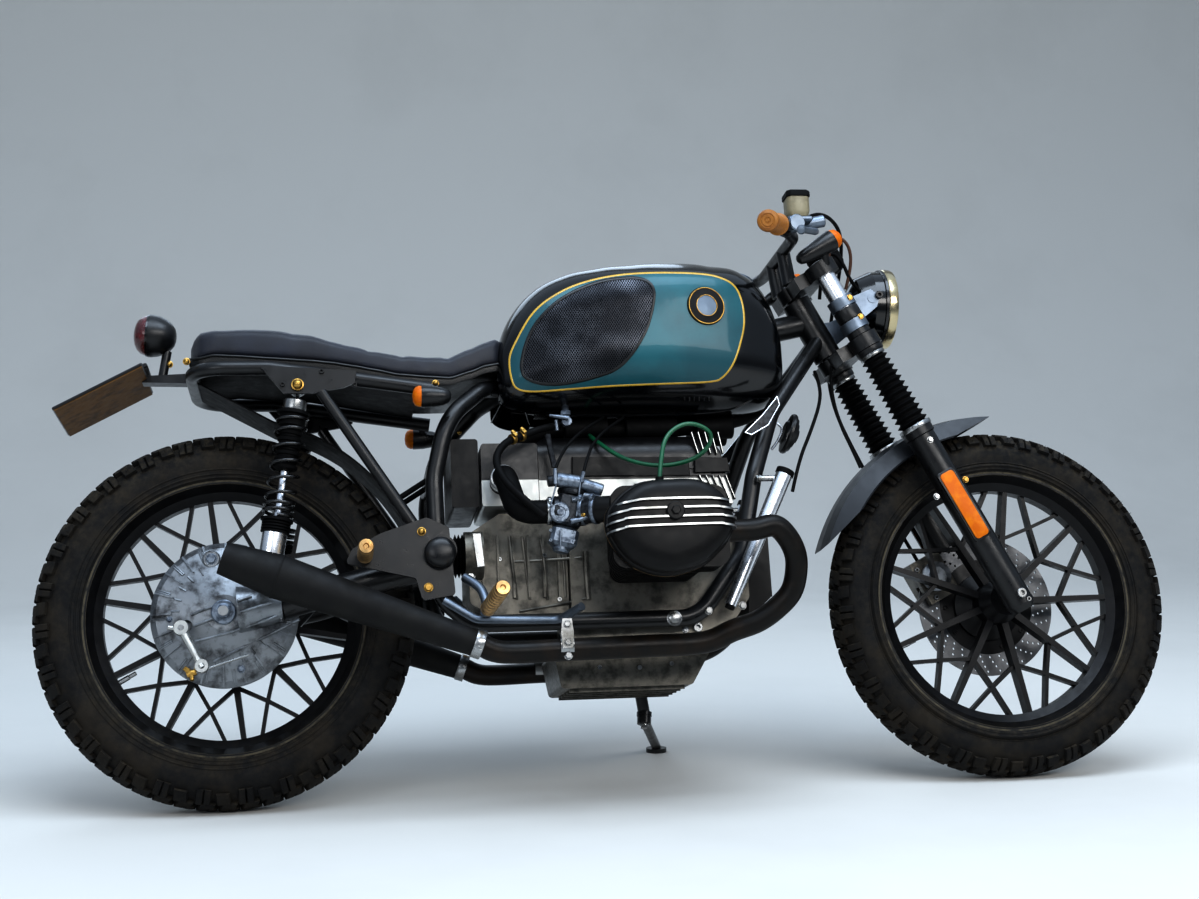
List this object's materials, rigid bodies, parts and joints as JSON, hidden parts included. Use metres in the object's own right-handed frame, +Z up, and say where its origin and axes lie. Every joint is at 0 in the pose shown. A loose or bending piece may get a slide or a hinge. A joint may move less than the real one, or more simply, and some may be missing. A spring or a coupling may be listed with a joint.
{
  "type": "cafe racer motorcycle with a flat twin engine",
  "caption": "Cafe racer motorcycle: flat twin engine, shaft drive, twin rear shocks, cone mufflers, knobbly tyres on cast wheels, flat seat, leaning on its side stand.",
  "frame": {"origin": "on the floor, at the centre of the whole machine's footprint, as it leans on its side stand", "axes": "+X towards the front wheel, +Y to the machine's left, the side it leans to, +Z up"},
  "size_m": [2.0448, 0.8031, 1.0663],
  "materials": {
    "black_frame": "satin",
    "cast_aluminium": "cast",
    "soft_rubber": "matte",
    "bright_metal": "polished",
    "black_engine": "satin",
    "black_exhaust": "matte heat paint",
    "brass": "turned",
    "amber": "gloss",
    "steel": "bare",
    "black_wheel": "satin",
    "tyre": "matte",
    "gum_rubber": "soft",
    "clear_glass": "clear",
    "plate_sheet": "matte",
    "seat_leather": "soft",
    "black_spring": "gloss",
    "red_lens": "gloss",
    "tank_paint": "gloss"
  },
  "bodies": {
    "chassis": {"air_box": "black_frame", "battery_box": "black_frame", "brake_lever": "bright_metal", "carburettors": "cast_aluminium", "cylinders": "black_engine", "engine_block": "cast_aluminium", "engine_stays": "bright_metal", "exhaust_pipes": "black_exhaust", "filler_cap": "bright_metal", "final_drive": "cast_aluminium", "foot_rests": "brass", "frame": "black_frame", "front_cover": "cast_aluminium", "gearbox": "cast_aluminium", "horn": "black_frame", "intake_hoses": "soft_rubber", "mufflers": "black_exhaust", "number_plate": "plate_sheet", "pedals": "bright_metal", "plate_arm": "black_frame", "rear_axle": "steel", "rear_indicators": "black_frame", "rear_mudguard": "black_frame", "rear_subframe": "black_frame", "seat": "seat_leather", "seat_pan": "black_frame", "shaft_boot": "soft_rubber", "shock_dampers": "steel", "shock_springs": "black_spring", "side_plates": "black_frame", "starter_cover": "black_engine", "sump": "cast_aluminium", "swing_arm": "black_frame", "tail_lamp": "red_lens", "tank": "tank_paint", "valve_covers": "black_engine"},
    "steering": {"fork_yokes": "black_frame", "fork_tubes": "bright_metal", "fork_legs": "black_frame", "fork_gaiters": "soft_rubber", "front_axle": "steel", "front_fender": "black_wheel", "brake_calliper": "cast_aluminium", "headlamp": "black_frame", "headlamp_glass": "clear_glass", "lamp_ears": "bright_metal", "handlebar": "black_frame", "grips": "gum_rubber", "hand_controls": "bright_metal", "gauge": "black_frame", "front_indicators": "black_frame", "fork_reflectors": "amber", "brake_hose": "soft_rubber"},
    "front_wheel_body": {"front_wheel": "black_wheel", "front_tyre": "tyre", "front_disc": "steel"},
    "rear_wheel_body": {"rear_wheel": "black_wheel", "rear_tyre": "tyre"},
    "stand": {"side_stand": "black_frame"}
  },
  "joints": [
    {"name": "steering_turn", "type": "hinge", "parent": "chassis", "child": "steering", "pos_m": [0.42555, 0.02596, 0.75511], "axis": [-0.454, 0.2156, 0.8645], "range_deg": [-33, 33]},
    {"name": "front_wheel_spin", "type": "hinge", "parent": "steering", "child": "front_wheel_body", "pos_m": [0.70362, -0.08475, 0.31107], "axis": [0, 0.9703, -0.2419], "continuous": true},
    {"name": "rear_wheel_spin", "type": "hinge", "parent": "chassis", "child": "rear_wheel_body", "pos_m": [-0.69637, -0.08302, 0.31801], "axis": [0, 0.9703, -0.2419], "continuous": true},
    {"name": "stand_fold", "type": "hinge", "parent": "chassis", "child": "stand", "pos_m": [0.05362, 0.00692, 0.10003], "axis": [0.0933, 0.3949, 0.914], "range_deg": [0, 96]}
  ]
}
